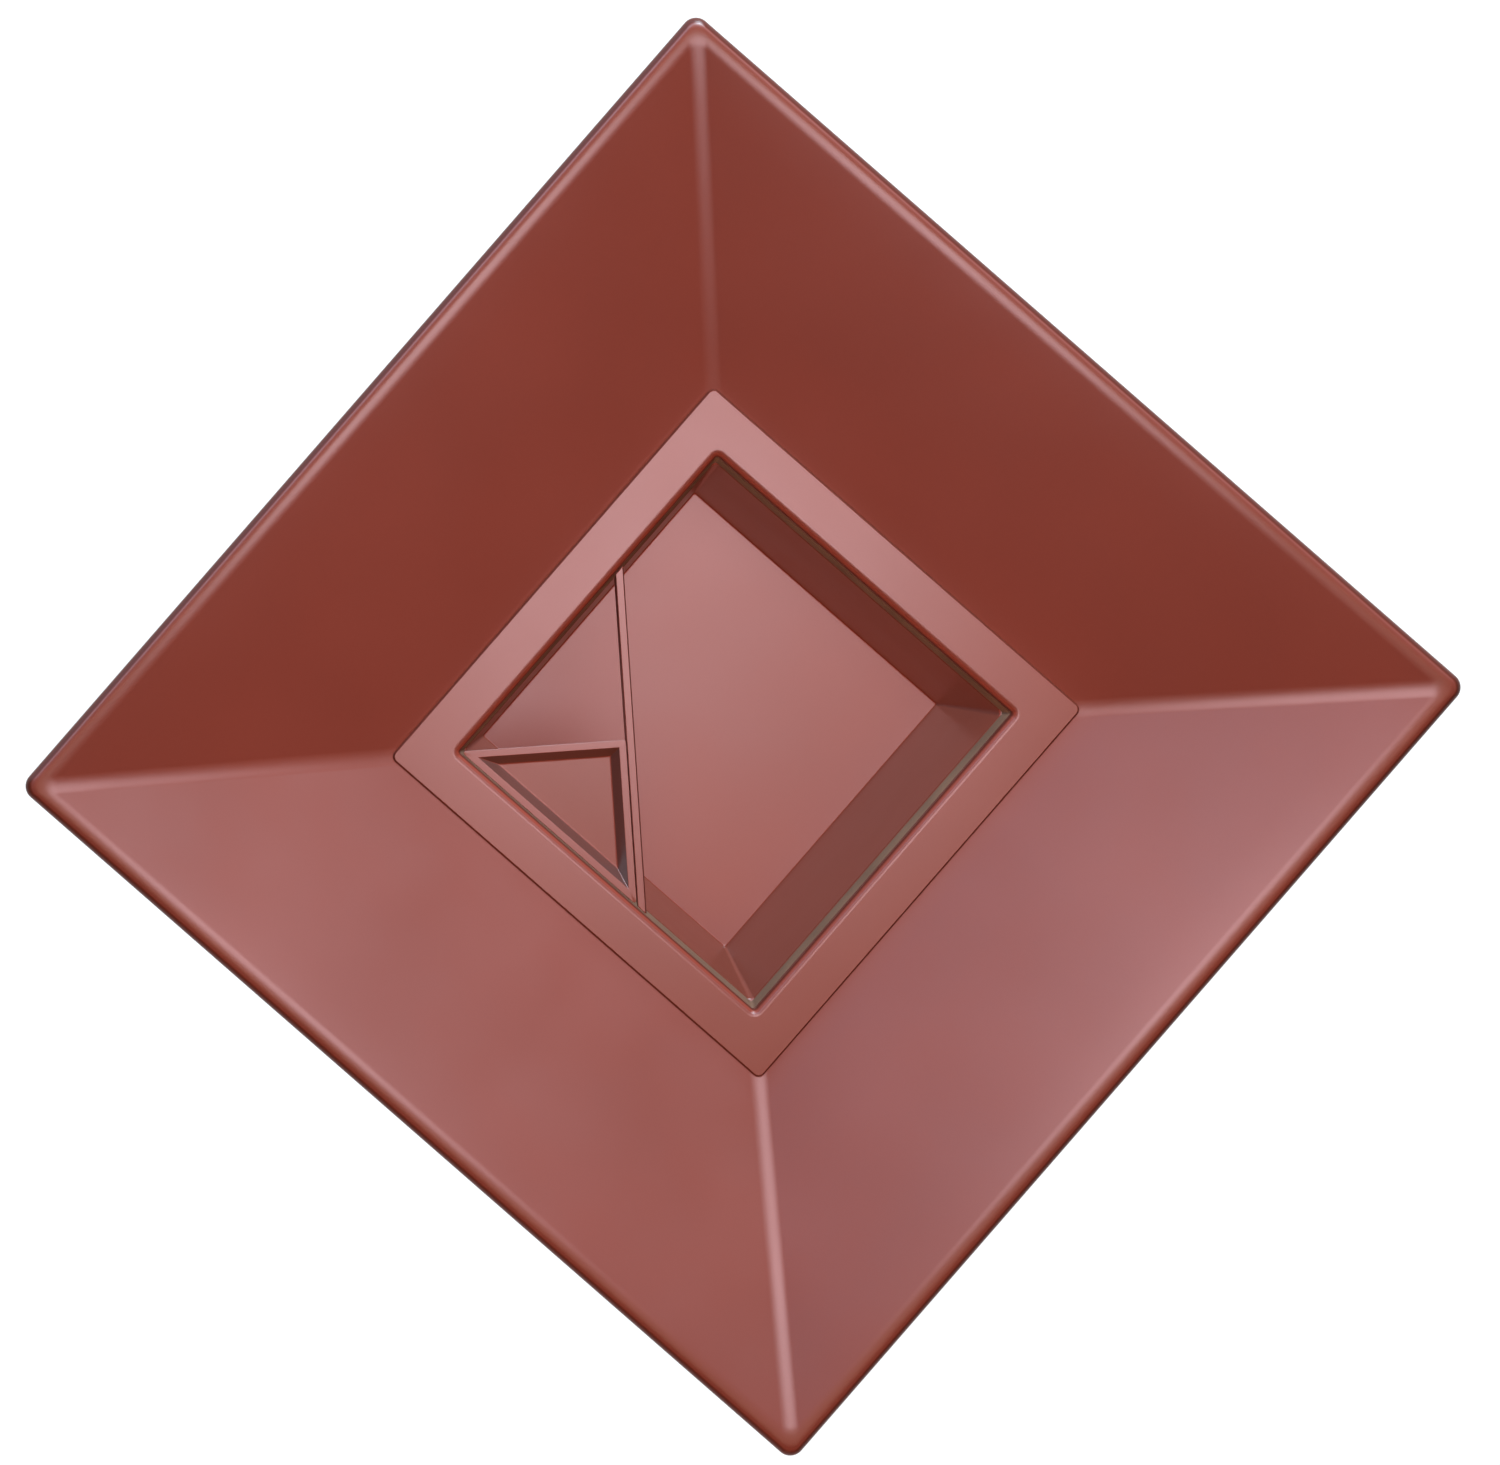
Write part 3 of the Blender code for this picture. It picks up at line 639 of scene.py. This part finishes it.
def metal_finish(name, color, roughness, stretch):
    """Bare metal with fine brushing, dull patches and brighter edges."""
    made, tree, shader = new_finish(name, color, roughness, 1.0)
    brushing = noise(tree, 220.0, 5.0, stretch)
    patches = spread(tree, noise(tree, 70.0, 3.0), 0.4, 0.65, 0.0, 1.0)
    geometry = tree.nodes.new("ShaderNodeNewGeometry")
    edge = spread(tree, geometry.outputs["Pointiness"], 0.52, 0.6, 0.0, 0.6)
    worn = blend(tree, brushing, tint(color, 0.86), tint(color, 1.08))
    dull = blend(tree, spread(tree, patches, 0.0, 1.0, 0.0, 0.3), worn, tint(color, 0.7))
    tree.links.new(blend(tree, edge, dull, tint(color, 1.25)), shader.inputs["Base Color"])
    uneven = spread(tree, brushing, 0.3, 0.7, roughness - 0.05, roughness + 0.08)
    duller = spread(tree, patches, 0.0, 1.0, 0.0, 0.08)
    tree.links.new(add_values(tree, uneven, duller), shader.inputs["Roughness"])
    add_bump(tree, shader, brushing, 0.12, 0.00004)
    return made


# ---------------------------------------------------------------- stage

def view_axes():
    toward = Vector((LEAN_X, LEAN_Y, 1.0)).normalized()
    right = (ACROSS - toward * ACROSS.dot(toward)).normalized()
    return right, toward.cross(right), toward


def make_camera():
    right, up, toward = view_axes()
    data = bpy.data.cameras.new("camera")
    data.type = "ORTHO"
    data.ortho_scale = VIEW_WIDTH
    made = bpy.data.objects.new("camera", data)
    bpy.context.scene.collection.objects.link(made)
    middle = Vector((0.0, 0.0, LIP_TOP - LIP_OUTER_RADIUS)) + right * SHIFT_RIGHT + up * SHIFT_UP
    turned = Matrix((right, up, toward)).transposed().to_4x4()
    made.matrix_world = Matrix.Translation(middle + toward * CAMERA_DISTANCE) @ turned
    data.clip_start = 0.05
    data.clip_end = 20.0
    bpy.context.scene.camera = made


def area_light(name, place, size, power, color, shadow=True, gloss=True):
    """A round lamp. place is (right, up, height) in the picture's own directions."""
    right, up, _ = view_axes()
    flat_right = Vector((right.x, right.y, 0.0)).normalized()
    flat_up = Vector((up.x, up.y, 0.0)).normalized()
    data = bpy.data.lights.new(name, "AREA")
    data.shape = "DISK"
    data.size = size
    data.energy = power
    data.color = color
    data.use_shadow = shadow
    made = bpy.data.objects.new(name, data)
    bpy.context.scene.collection.objects.link(made)
    made.location = flat_right * place[0] + flat_up * place[1] + Vector((0.0, 0.0, place[2]))
    made.rotation_mode = "QUATERNION"
    made.rotation_quaternion = (made.location - LIGHT_AIM).to_track_quat("Z", "Y")
    made.visible_camera = False
    made.visible_glossy = gloss


def make_floor():
    bm = bmesh.new()
    bmesh.ops.create_grid(bm, x_segments=1, y_segments=1, size=FLOOR_HALF)
    mesh = bpy.data.meshes.new("floor")
    bm.to_mesh(mesh)
    bm.free()
    floor = bpy.data.objects.new("floor", mesh)
    floor.location.z = -FLOOR_DROP
    bpy.context.scene.collection.objects.link(floor)
    pale, _, shader = new_finish("floor_pale", (FLOOR_GREY, FLOOR_GREY, FLOOR_GREY), 0.95)
    shader.inputs["Specular IOR Level"].default_value = 0.0
    shader.inputs["Emission Color"].default_value = (1.0, 1.0, 1.0, 1.0)
    shader.inputs["Emission Strength"].default_value = FLOOR_GLOW
    mesh.materials.append(pale)


def make_world():
    """A white surround that the camera sees brighter than the object does."""
    world = bpy.data.worlds.new("studio")
    bpy.context.scene.world = world
    world.use_nodes = True
    tree = world.node_tree
    background = tree.nodes["Background"]
    background.inputs["Color"].default_value = (1.0, 1.0, 1.0, 1.0)
    path = tree.nodes.new("ShaderNodeLightPath")
    strength = spread(tree, path.outputs["Is Camera Ray"], 0.0, 1.0, WORLD_LIGHT, WORLD_SEEN)
    tree.links.new(strength, background.inputs["Strength"])
    bpy.context.scene.view_settings.view_transform = "Standard"


def make_lamps():
    """A soft lamp overhead casts the contact shadow. The others are shadowless sheen and fill."""
    area_light(
        "overhead", place=(0.0, 0.0, 1.5), size=0.8, power=11.2, color=(0.83, 0.60, 0.38), gloss=False,
    )
    area_light(
        "near", place=(0.003, 0.030, 0.291), size=0.119, power=0.093, color=(1.30, 1.0, 1.09), shadow=False,
    )
    area_light(
        "key", place=(-0.471, 0.710, 0.200), size=1.198, power=6.0, color=(0.58, 1.2, 1.7), shadow=False,
    )
    area_light(
        "second", place=(0.289, 1.134, 0.454), size=0.6, power=28.6, color=(0.78, 1.05, 1.21), shadow=False,
    )
    area_light(
        "fill", place=(-0.239, -1.584, 0.406), size=0.55, power=9.6, color=(1.48, 1.2, 1.0),
        shadow=False, gloss=False,
    )


# Each moulded finish's darker colour for steep faces is painted shade on lip edges, well walls, fillets and
# recess walls.
tray_silicone = moulded_finish(
    "tray_silicone", painted_shade_color=(0.090, 0.017, 0.011), upright=(0.915, 0.78), grain=SILICONE_GRAIN,
)
cup_silicone = moulded_finish(
    "cup_silicone", painted_shade_color=(0.148, 0.030, 0.018), upright=(0.90, 0.60), grain=SILICONE_GRAIN,
)
frame_plastic = moulded_finish(
    "terracotta_plastic", painted_shade_color=(0.080, 0.014, 0.009), upright=(0.72, 0.40), grain=PLASTIC_GRAIN,
)
insert_plastic = moulded_finish(
    "insert_plastic", painted_shade_color=(0.088, 0.024, 0.017), upright=(0.80, 0.70), grain=PLASTIC_GRAIN,
    wall_gloss=0.7,
)
rubber = rubber_finish("seal_rubber", (0.140, 0.064, 0.038), roughness=0.8)
aluminium = metal_finish("clamp_aluminium", (0.62, 0.63, 0.65), roughness=0.34, stretch=(1.0, 12.0, 1.0))
steel = metal_finish("screw_steel", (0.46, 0.46, 0.48), roughness=0.3, stretch=(4.0, 4.0, 1.0))
make_tray(tray_silicone)
make_frame(frame_plastic)
make_gasket(rubber)
make_cup(cup_silicone)
make_strip(frame_plastic)
make_insert(insert_plastic)
make_clamp(aluminium)
make_screws(steel)
make_camera()
make_floor()
make_world()
make_lamps()
